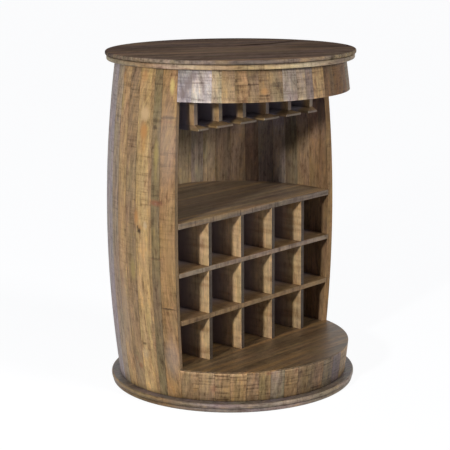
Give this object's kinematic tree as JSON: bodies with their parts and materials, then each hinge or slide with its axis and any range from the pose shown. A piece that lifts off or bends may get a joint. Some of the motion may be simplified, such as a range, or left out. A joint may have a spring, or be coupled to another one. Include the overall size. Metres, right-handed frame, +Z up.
{
  "type": "barrel bar cabinet",
  "caption": "Barrel-shaped wooden bar cabinet of bent staves with an open front, round overhanging top, bar shelf, gridded bottle rack and hanging stemware rails.",
  "frame": {"origin": "middle of the round base on the ground", "axes": "+Z up, front opening faces -Y, +X to the right when facing the cabinet"},
  "size_m": [0.761, 0.7575, 1.016],
  "materials": {
    "stave_wood": "weathered, waxed, each stave its own tone",
    "block_wood": "weathered, waxed, with saw marks across",
    "panel_wood": "dark stain, satin",
    "top_wood": "dark stain, satin",
    "edge_wood": "stained, waxed",
    "rack_wood": "waxed",
    "rail_wood": "waxed",
    "steel": "zinc plated"
  },
  "bodies": {
    "root": {"bar_shelf": "panel_wood", "base_lower_disc": "edge_wood", "base_screws": "steel", "base_upper_disc": "edge_wood", "ceiling_panel": "panel_wood", "drum_blocks": "block_wood", "fascia_blocks": "block_wood", "floor_panel": "panel_wood", "rack_divider_1": "rack_wood", "rack_divider_2": "rack_wood", "rack_divider_3": "rack_wood", "rack_divider_4": "rack_wood", "rack_shelf_1": "rack_wood", "rack_shelf_2": "rack_wood", "rail_foot_1": "rail_wood", "rail_foot_2": "rail_wood", "rail_foot_3": "rail_wood", "rail_foot_4": "rail_wood", "rail_foot_5": "rail_wood", "rail_foot_6": "rail_wood", "rail_screws": "steel", "rail_stem_1": "rail_wood", "rail_stem_2": "rail_wood", "rail_stem_3": "rail_wood", "rail_stem_4": "rail_wood", "rail_stem_5": "rail_wood", "rail_stem_6": "rail_wood", "stave_01": "stave_wood", "stave_02": "stave_wood", "stave_03": "stave_wood", "stave_04": "stave_wood", "stave_05": "stave_wood", "stave_06": "stave_wood", "stave_07": "stave_wood", "stave_08": "stave_wood", "stave_09": "stave_wood", "stave_10": "stave_wood", "stave_11": "stave_wood", "stave_12": "stave_wood", "stave_13": "stave_wood", "stave_14": "stave_wood", "stave_15": "stave_wood", "stave_16": "stave_wood", "stave_17": "stave_wood", "stave_18": "stave_wood", "stave_19": "stave_wood", "stave_20": "stave_wood", "stave_21": "stave_wood", "stave_22": "stave_wood", "stave_23": "stave_wood", "stave_24": "stave_wood", "stave_25": "stave_wood", "stave_26": "stave_wood", "stave_27": "stave_wood", "stave_28": "stave_wood", "stave_29": "stave_wood", "top_lower_disc": "edge_wood", "top_screws": "steel", "top_slab": "top_wood"}
  },
  "joints": []
}
